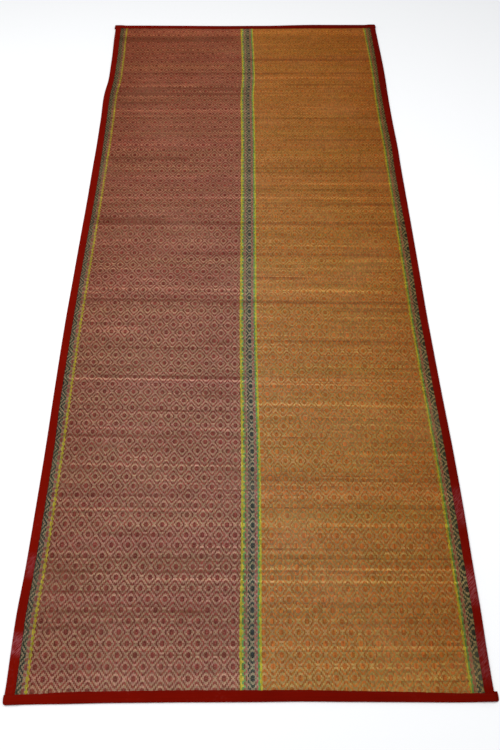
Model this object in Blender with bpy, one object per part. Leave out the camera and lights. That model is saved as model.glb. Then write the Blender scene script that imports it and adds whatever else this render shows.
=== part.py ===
"""Long floor mat of woven grass, with a cloth tape folded and sewn over each of its four edges.

The mat lies flat: its length runs along Y, its width along X, and its underside is at Z = 0.
The red half lies at -X and the orange half at +X.
"""

from bisect import bisect_right
from collections import namedtuple
from math import cos, pi, sin, sqrt

import bmesh
import bpy
import numpy as np

# Sizes in metres
MM = 0.001
MAT_WIDTH = 0.762
MAT_LENGTH = 1.833
CLOTH_THICKNESS = 0.0024
PRESSED_THICKNESS = 0.0018
TAPE_THICKNESS = 0.0005
GAP = 0.0003
LAYER = TAPE_THICKNESS + GAP
SIDE_STACK = PRESSED_THICKNESS + 2 * LAYER

# How far the grass cloth and the side tapes stop short of the fold that covers their edge
CLOTH_SIDE_INSET = 0.0024
CLOTH_END_INSET = 0.0038
SIDE_TAPE_INSET = 0.0058

# The cloth is lifted by the tape under it, and comes down to the floor over this run
LEVEL_PAST_TAPE = 0.001
RAMP = 0.014
UNDER_TAPE_WIDTH = 0.0150

# The four tapes' folds, and how the end tapes stop at the corners
FOLD_STEPS = 6
CORNER_ROUNDING = 0.0040
NEAR_TAPE_LEFT_END = -0.3836
NEAR_TAPE_RIGHT_END = 0.3815
FAR_TAPE_LEFT_END = -0.3862
FAR_TAPE_RIGHT_END = 0.3846
PINCHED_HEIGHT = 2 * TAPE_THICKNESS + GAP
PINCH_START = 0.0008
PINCH_RUN = 0.0030

STATION_STEP = 0.036
SIDE_STATIONS_MM = (0.0, 5.0, 10.0, 14.0, 19.0, 25.0)
CORNER_STATIONS_MM = (0.0, 0.5, 1.5, 3.0, 4.0, 5.0, 6.0, 7.0, 8.0, 12.0, 18.0, 22.0, 27.0, 34.0)
CLOTH_MARGIN_MM = (0.0, 8.0, 15.0, 19.0, 24.0, 30.0)
CLOTH_COLUMN_STEP = 0.118

# How uneven each edge is. Offsets in mm, outwards from the straight edge; tape widths in mm
SideRow = namedtuple("SideRow", "y left right left_tape right_tape")
SIDE_ROWS = [
    SideRow(-918, 2.0, -6.0, 16.0, 15.0),
    SideRow(-900, 2.1, -5.5, 16.0, 15.0),
    SideRow(-840, 3.6, -4.4, 16.0, 14.9),
    SideRow(-780, 4.6, -2.5, 15.8, 14.4),
    SideRow(-720, 2.8, -1.8, 15.6, 14.8),
    SideRow(-600, 2.2, 0.5, 16.2, 16.2),
    SideRow(-480, 2.4, 0.9, 16.4, 15.7),
    SideRow(-360, 3.9, -0.5, 14.9, 15.3),
    SideRow(-240, 5.0, -1.1, 16.0, 15.4),
    SideRow(-180, 5.2, -1.3, 16.2, 15.8),
    SideRow(-60, 4.1, -0.1, 15.8, 15.6),
    SideRow(60, 3.1, 0.9, 16.3, 14.4),
    SideRow(180, 1.8, 1.7, 17.2, 16.4),
    SideRow(300, 1.5, 2.5, 17.9, 16.7),
    SideRow(360, 1.0, 3.5, 17.0, 15.9),
    SideRow(480, 1.6, 2.6, 16.0, 16.6),
    SideRow(600, 2.7, 3.7, 16.2, 18.0),
    SideRow(645, -1.3, 4.8, 15.2, 18.8),
    SideRow(720, -1.6, 5.4, 15.5, 17.4),
    SideRow(780, -0.7, 4.7, 15.8, 16.6),
    SideRow(840, 1.3, 3.8, 16.0, 15.9),
    SideRow(918, 2.2, 2.8, 16.0, 15.6),
]
EndRow = namedtuple("EndRow", "x near far near_tape far_tape")
END_ROWS = [
    EndRow(-387, -0.2, -1.2, 14.6, 15.5),
    EndRow(-345, -1.2, -1.2, 14.2, 15.5),
    EndRow(-285, -1.5, -1.4, 16.6, 15.6),
    EndRow(-225, -2.2, -2.1, 16.4, 14.8),
    EndRow(-165, -2.2, -2.6, 16.8, 15.2),
    EndRow(-105, -2.2, -3.5, 17.0, 16.0),
    EndRow(-45, -1.8, -3.8, 17.0, 16.2),
    EndRow(15, -1.6, -3.3, 16.6, 16.0),
    EndRow(75, -1.7, -2.8, 16.4, 16.4),
    EndRow(135, -0.8, -0.4, 15.6, 17.6),
    EndRow(195, 0.0, 1.5, 15.0, 19.0),
    EndRow(255, 0.8, 1.2, 14.2, 19.2),
    EndRow(315, 1.6, 1.0, 13.0, 17.8),
    EndRow(387, 1.2, 1.0, 12.0, 17.4),
]

COLOURS = {
    "woven_mat": (0.32, 0.15, 0.06),
    "tape": (0.16, 0.008, 0.006),
}


def at(rows, column, place):
    """A column's value in metres at a place along the edge, on a smooth curve through its rows."""
    places = [row[0] * MM for row in rows]
    values = [getattr(row, column) * MM for row in rows]
    slopes = np.gradient(values, places)
    k = min(max(bisect_right(places, place) - 1, 0), len(rows) - 2)
    span = places[k + 1] - places[k]
    t = min(max((place - places[k]) / span, 0.0), 1.0)
    start = values[k] * (1 + 2 * t) * (1 - t) ** 2
    end = values[k + 1] * t * t * (3 - 2 * t)
    bend = span * t * (1 - t) * (slopes[k] * (1 - t) - slopes[k + 1] * t)
    return start + end + bend


def eased(t):
    """0 to 1 with a soft start and a soft end."""
    t = min(max(t, 0.0), 1.0)
    return t * t * (3 - 2 * t)


def left_edge(y):
    return -MAT_WIDTH / 2 - at(SIDE_ROWS, "left", y)


def right_edge(y):
    return MAT_WIDTH / 2 + at(SIDE_ROWS, "right", y)


def near_edge(x):
    return -MAT_LENGTH / 2 - at(END_ROWS, "near", x)


def far_edge(x):
    return MAT_LENGTH / 2 + at(END_ROWS, "far", x)


def over_tape(distance, tape_width):
    """1 where something lies over a tape that starts at distance 0, and 0 past the ramp inside it."""
    return 1 - eased((distance - tape_width - LEVEL_PAST_TAPE) / RAMP)


def over_side_tape(x, y):
    """How fully a point lies over, or is raised by, either side tape."""
    left = over_tape(x - left_edge(y), max(at(SIDE_ROWS, "left_tape", y), UNDER_TAPE_WIDTH))
    right = over_tape(right_edge(y) - x, max(at(SIDE_ROWS, "right_tape", y), UNDER_TAPE_WIDTH))
    return max(left, right)


def over_end_tape(x, y):
    """How fully a point lies over, or is raised by, the near or the far tape."""
    near = over_tape(y - near_edge(x), max(at(END_ROWS, "near_tape", x), UNDER_TAPE_WIDTH))
    far = over_tape(far_edge(x) - y, max(at(END_ROWS, "far_tape", x), UNDER_TAPE_WIDTH))
    return max(near, far)


def material(name, colour, roughness):
    made = bpy.data.materials.new(name)
    made.use_nodes = True
    shader = made.node_tree.nodes["Principled BSDF"]
    shader.inputs["Base Color"].default_value = (*colour, 1)
    shader.inputs["Roughness"].default_value = roughness
    shader.inputs["Metallic"].default_value = 0
    return made


def add_object(name, shape, looks):
    """Turns a bmesh into a named object with its material."""
    mesh = bpy.data.meshes.new(name)
    shape.to_mesh(mesh)
    shape.free()
    mesh.materials.append(looks)
    mesh.shade_smooth()
    made = bpy.data.objects.new(name, mesh)
    bpy.context.scene.collection.objects.link(made)
    return made


def grid_lines(start, end, margin, step):
    """Places from start to end: close together in both margins, and evenly spaced between them."""
    low = [start + d * MM for d in margin]
    high = [end - d * MM for d in reversed(margin)]
    count = max(2, round((high[0] - low[-1]) / step))
    middle = np.linspace(low[-1], high[0], count + 1)[1:-1]
    return low + [float(m) for m in middle] + high


def woven_mat(looks):
    """The grass cloth, flat on the floor, pressed thinner and lifted a little inside the tapes."""
    half_width = MAT_WIDTH / 2 - CLOTH_SIDE_INSET
    half_length = MAT_LENGTH / 2 - CLOTH_END_INSET
    columns = grid_lines(-half_width, half_width, CLOTH_MARGIN_MM, CLOTH_COLUMN_STEP)
    rows = grid_lines(-half_length, half_length, CLOTH_MARGIN_MM, STATION_STEP)
    shape = bmesh.new()
    bmesh.ops.create_grid(
        shape, x_segments=len(columns) - 1, y_segments=len(rows) - 1, size=1
    )
    for point in shape.verts:
        column = round((point.co.x + 1) / 2 * (len(columns) - 1))
        row = round((point.co.y + 1) / 2 * (len(rows) - 1))
        x, y = columns[column], rows[row]
        across = (x + half_width) / (2 * half_width)
        along = (y + half_length) / (2 * half_length)
        left, right = at(SIDE_ROWS, "left", y), at(SIDE_ROWS, "right", y)
        near, far = at(END_ROWS, "near", x), at(END_ROWS, "far", x)
        point.co.x = x - left * (1 - across) + right * across
        point.co.y = y - near * (1 - along) + far * along
        side = over_side_tape(point.co.x, point.co.y)
        end = over_end_tape(point.co.x, point.co.y)
        point.co.z = LAYER * (side + end)
    top = bmesh.ops.extrude_face_region(shape, geom=shape.faces[:], use_keep_orig=True)
    for point in (part for part in top["geom"] if isinstance(part, bmesh.types.BMVert)):
        side = over_side_tape(point.co.x, point.co.y)
        end = over_end_tape(point.co.x, point.co.y)
        pressed = (CLOTH_THICKNESS - PRESSED_THICKNESS) * max(side, end)
        point.co.z += CLOTH_THICKNESS - pressed
    bmesh.ops.recalc_face_normals(shape, faces=shape.faces)
    made = add_object("woven_mat", shape, looks)
    made.data.set_sharp_from_angle(angle=pi / 6)


def fold_section(edge, inward, upper_width, lower_width, base, top):
    """The tape's outer face from its lower leaf's edge, round the fold, to its upper leaf's edge."""
    radius = (top - base) / 2
    points = [(edge + inward * lower_width, base)]
    for step in range(FOLD_STEPS + 1):
        angle = pi * step / FOLD_STEPS
        across = edge + inward * radius * (1 - sin(angle))
        points.append((across, base + radius * (1 - cos(angle))))
    points.append((edge + inward * upper_width, top))
    return points


def tape(name, sections, looks):
    """One folded tape: its outer face runs through the sections, and its cloth grows inwards."""
    shape = bmesh.new()
    lines = [[shape.verts.new(point) for point in section] for section in sections]
    for line, following in zip(lines, lines[1:]):
        for k in range(len(line) - 1):
            shape.faces.new((line[k], line[k + 1], following[k + 1], following[k]))
    made = add_object(name, shape, looks)
    thicken = made.modifiers.new("cloth", "SOLIDIFY")
    thicken.thickness = TAPE_THICKNESS
    thicken.offset = -1
    thicken.use_even_offset = True


def side_tape(name, looks, edge, width_column, inward):
    """A tape along the length. Its ends lie inside the end tapes, so they rise over their lower leaf."""
    middle_x = edge(0.0)
    start = near_edge(middle_x) + SIDE_TAPE_INSET
    end = far_edge(middle_x) - SIDE_TAPE_INSET
    sections = []
    for y in grid_lines(start, end, SIDE_STATIONS_MM, STATION_STEP):
        base = LAYER * over_end_tape(middle_x, y)
        width = at(SIDE_ROWS, width_column, y)
        folded = fold_section(edge(y), inward, width, UNDER_TAPE_WIDTH, base, base + SIDE_STACK)
        sections.append([(x, y, z) for x, z in folded])
    if inward < 0:
        sections.reverse()
    tape(name, sections, looks)


def corner_inset(distance):
    """How far a rounded corner draws the edge in, at a distance from the tape's end."""
    short = max(CORNER_ROUNDING - distance, 0.0)
    return CORNER_ROUNDING - sqrt(CORNER_ROUNDING**2 - short**2)


def end_tape(name, looks, edge, width_column, inward, ends):
    """A tape across the width, folded over the cloth and over the ends of both side tapes."""
    sections = []
    for x in grid_lines(*ends, CORNER_STATIONS_MM, STATION_STEP):
        to_end = min(x - ends[0], ends[1] - x)
        y = edge(x) + inward * corner_inset(to_end)
        width = at(END_ROWS, width_column, x) - corner_inset(to_end)
        # Past the side tape's fold nothing is left inside, so the two leaves close up
        outside = max(left_edge(y) - x, x - right_edge(y), 0.0)
        full = SIDE_STACK + 2 * LAYER * over_side_tape(x, y)
        top = full - (full - PINCHED_HEIGHT) * eased((outside - PINCH_START) / PINCH_RUN)
        under = UNDER_TAPE_WIDTH - corner_inset(to_end)
        folded = fold_section(y, inward, width, under, 0.0, top)
        sections.append([(x, across, z) for across, z in folded])
    if inward > 0:
        sections.reverse()
    tape(name, sections, looks)


def main():
    for old in list(bpy.data.objects):
        bpy.data.objects.remove(old)
    grass = material("grass_weave", COLOURS["woven_mat"], 0.85)
    cloth = material("red_tape", COLOURS["tape"], 0.75)
    woven_mat(grass)
    side_tape("binding_left", cloth, left_edge, "left_tape", 1)
    side_tape("binding_right", cloth, right_edge, "right_tape", -1)
    near_ends = (NEAR_TAPE_LEFT_END, NEAR_TAPE_RIGHT_END)
    far_ends = (FAR_TAPE_LEFT_END, FAR_TAPE_RIGHT_END)
    end_tape("binding_near", cloth, near_edge, "near_tape", 1, near_ends)
    end_tape("binding_far", cloth, far_edge, "far_tape", -1, far_ends)


main()
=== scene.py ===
"""Long floor mat of grass stems woven on coloured yarns in a lozenge twill, its edges bound in red cloth.

The weave is made flat and straight from its chart, then laid into the mat's slightly uneven outline.
"""

from collections import namedtuple
from math import pi, radians

import bmesh
import bpy
import numpy as np
from bpy.props import FloatProperty, FloatVectorProperty, IntProperty, PointerProperty
from mathutils import Euler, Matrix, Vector


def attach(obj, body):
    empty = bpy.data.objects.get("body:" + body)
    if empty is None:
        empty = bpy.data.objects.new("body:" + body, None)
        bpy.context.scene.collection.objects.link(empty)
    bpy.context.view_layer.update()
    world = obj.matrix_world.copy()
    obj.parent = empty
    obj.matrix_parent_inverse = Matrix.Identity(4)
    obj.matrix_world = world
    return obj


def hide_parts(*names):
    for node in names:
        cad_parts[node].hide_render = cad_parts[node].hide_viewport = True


bl_info = {
    "name": "Woven Grass Floor Mat",
    "version": (1, 0, 0),
    "blender": (4, 5, 0),
    "location": "View3D > Sidebar > Grass Mat",
    "description": "Weaves a bound grass floor mat, stem by stem and yarn by yarn",
    "category": "Object",
}

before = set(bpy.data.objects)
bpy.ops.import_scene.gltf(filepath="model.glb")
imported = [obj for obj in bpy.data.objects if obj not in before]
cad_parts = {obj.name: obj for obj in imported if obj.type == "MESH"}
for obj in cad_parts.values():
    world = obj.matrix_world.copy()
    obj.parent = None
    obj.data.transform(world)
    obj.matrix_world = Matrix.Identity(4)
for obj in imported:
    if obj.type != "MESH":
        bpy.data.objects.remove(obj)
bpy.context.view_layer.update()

# Lengths in metres. The mat's width and length are those of its cloth
MM = 0.001
MAT_WIDTH = 0.762
MAT_LENGTH = 1.833
CLOTH_THICKNESS = 0.0024
# The cloth is thinner where a tape presses it
PRESSED_THICKNESS = 0.0018
TAPE_THICKNESS = 0.0005
# Between any two layers of cloth
GAP = 0.0003
LAYER = TAPE_THICKNESS + GAP
SIDE_STACK = PRESSED_THICKNESS + 2 * LAYER
# How far inside the edges the cloth's sides, the cloth's ends and the side tapes' ends lie
CLOTH_SIDE_INSET = 0.0024
CLOTH_END_INSET = 0.0038
SIDE_TAPE_INSET = 0.0058
# What lies over a tape stays level a little past the tape's inner edge, and then slopes down
LEVEL_PAST_TAPE = 0.001
RAMP = 0.014
UNDER_TAPE_WIDTH = 0.0150
CORNER_ROUNDING = 0.0040
NEAR_TAPE_ENDS = (-0.3836, 0.3815)
FAR_TAPE_ENDS = (-0.3862, 0.3846)
# Where an end tape sticks out past the side tapes, it is pinched flat
PINCHED_HEIGHT = 2 * TAPE_THICKNESS + GAP
PINCH_START = 0.0008
PINCH_RUN = 0.0030
SIDE_SEAM_ENDS = (-MAT_LENGTH / 2 + 0.022, MAT_LENGTH / 2 - 0.017)
END_SEAM_ENDS = (-MAT_WIDTH / 2 + 0.004, MAT_WIDTH / 2 - 0.006)
SEAM_STEP = 0.004

# A tape's upper leaf, from its fold to its inner edge: the share of its width, and how far the seam
# draws it down or lets it rise. The leaf puffs up as far as the seam
LeafRow = namedtuple("LeafRow", "share rise")
LEAF_ROWS = [
    LeafRow(0.2, 0.0),
    LeafRow(0.4, 0.0),
    LeafRow(0.6, 0.0),
    LeafRow(0.75, 0.0),
    LeafRow(0.85, -0.00018),
    LeafRow(0.92, 0.00006),
    LeafRow(1.0, 0.00006),
]
PUFF_SHARE = 0.8

# How uneven each edge is. Offsets in mm, outwards from the straight edge; tape widths in mm
SideRow = namedtuple("SideRow", "y left right left_tape right_tape")
SIDE_ROWS = [
    SideRow(-918, 2.0, -6.0, 16.0, 15.0),
    SideRow(-900, 2.1, -5.5, 16.0, 15.0),
    SideRow(-840, 3.6, -4.4, 16.0, 14.9),
    SideRow(-780, 4.6, -2.5, 15.8, 14.4),
    SideRow(-720, 2.8, -1.8, 15.6, 14.8),
    SideRow(-600, 2.2, 0.5, 16.2, 16.2),
    SideRow(-480, 2.4, 0.9, 16.4, 15.7),
    SideRow(-360, 3.9, -0.5, 14.9, 15.3),
    SideRow(-240, 5.0, -1.1, 16.0, 15.4),
    SideRow(-180, 5.2, -1.3, 16.2, 15.8),
    SideRow(-60, 4.1, -0.1, 15.8, 15.6),
    SideRow(60, 3.1, 0.9, 16.3, 14.4),
    SideRow(180, 1.8, 1.7, 17.2, 16.4),
    SideRow(300, 1.5, 2.5, 17.9, 16.7),
    SideRow(360, 1.0, 3.5, 17.0, 15.9),
    SideRow(480, 1.6, 2.6, 16.0, 16.6),
    SideRow(600, 2.7, 3.7, 16.2, 18.0),
    SideRow(645, -1.3, 4.8, 15.2, 18.8),
    SideRow(720, -1.6, 5.4, 15.5, 17.4),
    SideRow(780, -0.7, 4.7, 15.8, 16.6),
    SideRow(840, 1.3, 3.8, 16.0, 15.9),
    SideRow(918, 2.2, 2.8, 16.0, 15.6),
]
EndRow = namedtuple("EndRow", "x near far near_tape far_tape")
END_ROWS = [
    EndRow(-387, -0.2, -1.2, 14.6, 15.5),
    EndRow(-345, -1.2, -1.2, 14.2, 15.5),
    EndRow(-285, -1.5, -1.4, 16.6, 15.6),
    EndRow(-225, -2.2, -2.1, 16.4, 14.8),
    EndRow(-165, -2.2, -2.6, 16.8, 15.2),
    EndRow(-105, -2.2, -3.5, 17.0, 16.0),
    EndRow(-45, -1.8, -3.8, 17.0, 16.2),
    EndRow(15, -1.6, -3.3, 16.6, 16.0),
    EndRow(75, -1.7, -2.8, 16.4, 16.4),
    EndRow(135, -0.8, -0.4, 15.6, 17.6),
    EndRow(195, 0.0, 1.5, 15.0, 19.0),
    EndRow(255, 0.8, 1.2, 14.2, 19.2),
    EndRow(315, 1.6, 1.0, 13.0, 17.8),
    EndRow(387, 1.2, 1.0, 12.0, 17.4),
]

# The warp from left to right: how many ends, where the first lies, and how far apart, in mm from the
# left edge. Step is the first end's place in the draft, which counts up by one with each end
Stripe = namedtuple("Stripe", "yarn ends start pitch step")
STRIPES = [
    Stripe("black", 8, 6.8, 2.44, 3),
    Stripe("pink", 2, 26.2, 2.44, 11),
    Stripe("yellow", 2, 31.3, 2.2, 7),
    Stripe("red", 140, 35.1, 2.372, 9),
    Stripe("yellow", 2, 366.5, 2.0, 5),
    Stripe("green", 1, 370.8, 2.44, 0),
    Stripe("pink", 2, 373.5, 2.6, 1),
    Stripe("black", 5, 379.6, 2.24, 3),
    Stripe("pink", 2, 391.0, 2.6, 8),
    Stripe("green", 1, 396.2, 2.5, 11),
    Stripe("yellow", 2, 398.5, 2.0, 3),
    Stripe("orange", 137, 402.4, 2.365, 5),
    Stripe("yellow", 2, 725.6, 1.9, 10),
    Stripe("green", 1, 729.8, 2.44, 0),
    Stripe("pink", 2, 732.6, 2.7, 1),
    Stripe("black", 9, 738.3, 2.44, 3),
]

# Where the lozenge rows' centre lines meet the long edges, in mm from the middle of the mat
StemRow = namedtuple("StemRow", "row left right")
STEM_ROWS = [
    StemRow(-2.5, -990.5, -993.0),
    StemRow(0, -899.0, -901.5),
    StemRow(2.5, -809.6, -816.8),
    StemRow(5, -720.2, -730.0),
    StemRow(7.5, -626.6, -637.4),
    StemRow(10, -534.8, -550.5),
    StemRow(12.5, -441.8, -461.0),
    StemRow(15, -351.7, -370.9),
    StemRow(17.5, -264.2, -283.2),
    StemRow(20, -166.2, -185.2),
    StemRow(22.5, -74.2, -90.7),
    StemRow(25, 14.3, 1.3),
    StemRow(27.5, 110.0, 102.1),
    StemRow(30, 198.8, 194.1),
    StemRow(32.5, 283.9, 279.4),
    StemRow(35, 381.4, 376.7),
    StemRow(37.5, 469.7, 466.1),
    StemRow(40, 562.0, 559.7),
    StemRow(42.5, 658.8, 658.4),
    StemRow(45, 753.1, 754.9),
    StemRow(47.5, 846.0, 849.3),
    StemRow(50, 932.4, 937.2),
]
# A pick is one stem, and a row of lozenges takes twelve. The outermost picks are squeezed together
# under the end tapes
ROW_PICKS = 12
HALF_ROW = ROW_PICKS / 2
PICK_PITCH = 0.00308
FIRST_PICK = -5
LAST_PICK = 593
SQUEEZED_PICKS = 4
FIRST_FLOAT_PICK = FIRST_PICK + 1
LAST_FLOAT_PICK = LAST_PICK - 4
# Where the red half meets the orange one, to the right of the mat's middle
HALVES_MEET = 0.0027
# Ends nearer to a long edge than this are hidden by the tape
HIDDEN_EDGE = 0.009

# Stems that stand out from the rest: the first one's place, how many, from where to where in mm from
# the mat's middle, and how much paler (+) or darker (-) they are, in doublings
Streak = namedtuple("Streak", "pick stems start end tone")
STREAKS = [
    Streak(0, 9, -375, 375, 0.2),
    Streak(11, 3, 3, 375, 0.3),
    Streak(21, 2, -375, 375, 0.35),
    Streak(32, 1, -375, -240, -0.5),
    Streak(35, 1, -375, 375, -0.3),
    Streak(41, 1, -320, -60, -0.5),
    Streak(44, 2, -270, 375, -0.25),
    Streak(52, 1, -320, 3, -0.4),
    Streak(58, 1, 3, 375, 0.5),
    Streak(59, 1, -190, 3, 0.45),
    Streak(63, 1, -375, 3, -0.4),
    Streak(65, 1, 3, 375, 0.45),
    Streak(71, 2, -375, 375, -0.35),
    Streak(76, 1, -375, 375, -0.3),
    Streak(84, 1, -270, -130, -0.5),
    Streak(90, 2, -270, 375, 0.4),
    Streak(99, 1, -375, -60, 0.55),
    Streak(101, 2, 50, 375, -0.25),
    Streak(108, 1, -375, 3, -0.4),
    Streak(110, 2, 3, 375, 0.4),
    Streak(119, 2, 3, 375, -0.4),
    Streak(128, 1, -375, 3, 0.35),
    Streak(136, 2, 180, 375, 0.35),
    Streak(147, 1, -375, 3, -0.4),
    Streak(153, 1, -375, 3, 0.3),
    Streak(166, 1, -375, 3, -0.5),
    Streak(172, 2, 3, 375, 0.35),
    Streak(188, 1, 3, 375, 0.3),
    Streak(190, 1, -375, 3, 0.55),
    Streak(192, 2, -300, 3, -0.6),
    Streak(192, 1, 100, 375, 0.4),
    Streak(200, 2, -375, -215, -0.4),
    Streak(202, 1, 260, 375, -0.5),
    Streak(216, 1, -320, -85, -0.4),
    Streak(223, 1, 3, 375, -0.4),
    Streak(228, 4, -375, -215, 0.3),
    Streak(247, 3, 180, 375, -0.35),
    Streak(254, 2, -375, 375, -0.55),
    Streak(261, 1, -375, 3, 0.35),
    Streak(265, 2, -375, 290, 0.4),
    Streak(277, 1, 3, 130, -0.5),
    Streak(294, 2, 210, 375, 0.35),
    Streak(299, 2, -165, 375, -0.35),
    Streak(308, 1, 80, 375, 0.4),
    Streak(328, 3, -375, 375, -0.45),
    Streak(331, 5, -375, -190, -0.4),
    Streak(341, 2, 130, 375, 0.3),
    Streak(349, 2, 180, 375, -0.5),
    Streak(356, 2, -375, 375, 0.35),
    Streak(365, 3, 3, 375, -0.35),
    Streak(374, 2, 130, 375, 0.4),
    Streak(388, 2, 3, 375, -0.35),
    Streak(393, 2, 3, 375, -0.45),
    Streak(403, 3, -375, -150, -0.5),
    Streak(420, 2, -375, -85, 0.35),
    Streak(426, 2, 105, 375, -0.5),
    Streak(455, 2, 3, 375, -0.4),
    Streak(464, 3, -375, 3, 0.4),
    Streak(475, 3, -375, -215, -0.6),
    Streak(487, 3, -375, 3, -0.5),
    Streak(493, 5, -375, 3, -0.3),
    Streak(499, 2, -375, -110, 0.4),
    Streak(500, 2, 80, 290, -0.4),
    Streak(510, 2, 3, 375, 0.35),
    Streak(516, 2, -375, 375, -0.35),
    Streak(525, 3, -375, -60, 0.35),
    Streak(535, 3, 3, 375, -0.45),
    Streak(565, 8, -375, -33, -0.45),
    Streak(575, 11, -375, 375, 0.25),
]

# Screen colours from 0 to 255. The near end has faded more than the far end
Fade = namedtuple("Fade", "near far")
STRAW_BY_RED = Fade((141, 108, 89), (133, 81, 53))
STRAW_BY_ORANGE = Fade((144, 113, 69), (143, 93, 38))
STRAW_IN_STRIPES = Fade((133, 123, 99), (124, 104, 66))
AGED_STRAW = (154, 86, 54)
DUST = (176, 150, 120)
TAPE_COLOUR = (110, 11, 2)
# Pale pink of the tape's patches, partly rubbing of the cotton and partly a painted sheen
RUBBED_AND_SHEEN_TAPE = (150, 70, 66)
# Pale pink of the tape's scuffs and of its painted sheen
SCUFF_AND_SHEEN_TAPE = (178, 112, 118)
PALE_THREAD = (118, 18, 12)
DARK_THREAD = (92, 8, 5)
# Where along the mat the fading begins and ends, in metres from its middle
FADE_SPAN = (-0.35, 0.85)

# Bleed is the share of a yarn's dye that the stems beside it have taken on, fullness is its width
# against the other yarns', and reach is how much further its floats go, in stems. Long depth is how
# much deeper a float looks for each stem more, and uneven is how much its floats differ in depth
Dye = namedtuple("Dye", "near far bleed fullness reach long_depth uneven")
YARN_COLOURS = {
    "red": Dye((112, 56, 47), (118, 50, 33), 0.0, 1.0, 0.0, 0.17, 1.0),
    "orange": Dye((154, 91, 41), (148, 82, 29), 0.0, 1.0, 0.0, 0.0, 0.9),
    "yellow": Dye((154, 146, 44), (152, 134, 36), 0.85, 1.15, 0.4, 0.0, 0.9),
    "green": Dye((82, 126, 66), (78, 116, 58), 0.75, 1.15, 0.4, 0.0, 0.9),
    "pink": Dye((126, 74, 68), (118, 67, 50), 0.3, 1.0, 0.1, 0.2, 0.9),
    "black": Dye((46, 56, 52), (50, 53, 41), 0.15, 1.0, 0.1, 0.15, 0.9),
}

# Two slight casts that stems and floats vary between, as multiples of red, green and blue
PINKER = (1.06, 0.92, 1.06, 1.0)
GREENER = (0.94, 1.07, 0.92, 1.0)

# How much browner and darker the mat is made towards its long edges, from the left edge to the right: the
# place in mm, and how much red, green and blue it has kept there
EdgeBrowning = namedtuple("EdgeBrowning", "place kept")
EDGE_BROWNING = [
    EdgeBrowning(0, (0.78, 0.66, 0.56)),
    EdgeBrowning(140, (0.97, 0.94, 0.9)),
    EdgeBrowning(420, (1.0, 1.0, 1.0)),
    EdgeBrowning(600, (0.895, 0.84, 0.62)),
    EdgeBrowning(762, (0.76, 0.6, 0.33)),
]

# How far apart the twists of a yarn and the threads of a tape are, in metres
YARN_TWIST = 0.0011
TAPE_THREAD = 0.0007

# Pale stretches of the side tapes, partly scuffs and specks and partly a painted sheen: which tape, the
# middle and half the length in mm, and how strong
Scuff = namedtuple("Scuff", "tape middle half_length wear")
SCUFFS_AND_SHEEN = [
    Scuff("left", -828, 22, 0.85),
    Scuff("left", -700, 26, 0.35),
    Scuff("right", -850, 50, 0.3),
    Scuff("right", -740, 40, 0.55),
    Scuff("right", -600, 45, 0.35),
]


def linear(rgb):
    """A colour given as 0 to 255 screen values, as the linear numbers that shaders take."""
    unit = np.array(rgb) / 255
    straight = np.where(unit <= 0.04045, unit / 12.92, ((unit + 0.055) / 1.055) ** 2.4)
    return tuple(float(v) for v in straight)


def along(rows, column, places, unit=MM):
    """A column's values in metres at places along its table, on a smooth curve through the rows."""
    stops = np.array([row[0] for row in rows]) * unit
    values = np.array([getattr(row, column) for row in rows]) * MM
    slopes = np.gradient(values, stops)
    places = np.asarray(places, dtype=float)
    k = np.clip(np.searchsorted(stops, places, side="right") - 1, 0, len(rows) - 2)
    span = stops[k + 1] - stops[k]
    t = np.clip((places - stops[k]) / span, 0, 1)
    start = values[k] * (1 + 2 * t) * (1 - t) ** 2
    end = values[k + 1] * t * t * (3 - 2 * t)
    return start + end + span * t * (1 - t) * (slopes[k] * (1 - t) - slopes[k + 1] * t)


def eased(t):
    """0 to 1 with a soft start and a soft end."""
    t = np.clip(t, 0, 1)
    return t * t * (3 - 2 * t)


def left_edge(y):
    return -MAT_WIDTH / 2 - along(SIDE_ROWS, "left", y)


def right_edge(y):
    return MAT_WIDTH / 2 + along(SIDE_ROWS, "right", y)


def near_edge(x):
    return -MAT_LENGTH / 2 - along(END_ROWS, "near", x)


def far_edge(x):
    return MAT_LENGTH / 2 + along(END_ROWS, "far", x)


def over_tape(distance, tape_width):
    """1 where something lies over a tape that starts at distance 0, and 0 past the ramp inside it."""
    under = np.maximum(tape_width, UNDER_TAPE_WIDTH)
    return 1 - eased((distance - under - LEVEL_PAST_TAPE) / RAMP)


def over_side_tape(x, y):
    left = over_tape(x - left_edge(y), along(SIDE_ROWS, "left_tape", y))
    right = over_tape(right_edge(y) - x, along(SIDE_ROWS, "right_tape", y))
    return np.maximum(left, right)


def over_end_tape(x, y):
    near = over_tape(y - near_edge(x), along(END_ROWS, "near_tape", x))
    far = over_tape(far_edge(x) - y, along(END_ROWS, "far_tape", x))
    return np.maximum(near, far)


def stem_place(pick, across):
    """Where along the mat a stem lies, by the slant of its row, or squeezed in under an end tape."""
    inner = np.clip(pick, FIRST_PICK + SQUEEZED_PICKS, LAST_PICK - SQUEEZED_PICKS)
    row = inner / ROW_PICKS
    left = along(STEM_ROWS, "left", row, unit=1)
    right = along(STEM_ROWS, "right", row, unit=1)
    place = left * (1 - across) + right * across
    x = (across - 0.5) * MAT_WIDTH
    for end, share in (
        (near_edge(x) + CLOTH_END_INSET, (pick - FIRST_PICK) / SQUEEZED_PICKS),
        (far_edge(x) - CLOTH_END_INSET, (LAST_PICK - pick) / SQUEEZED_PICKS),
    ):
        place = np.where(share < 1, end + (place - end) * share, place)
    return place


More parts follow.
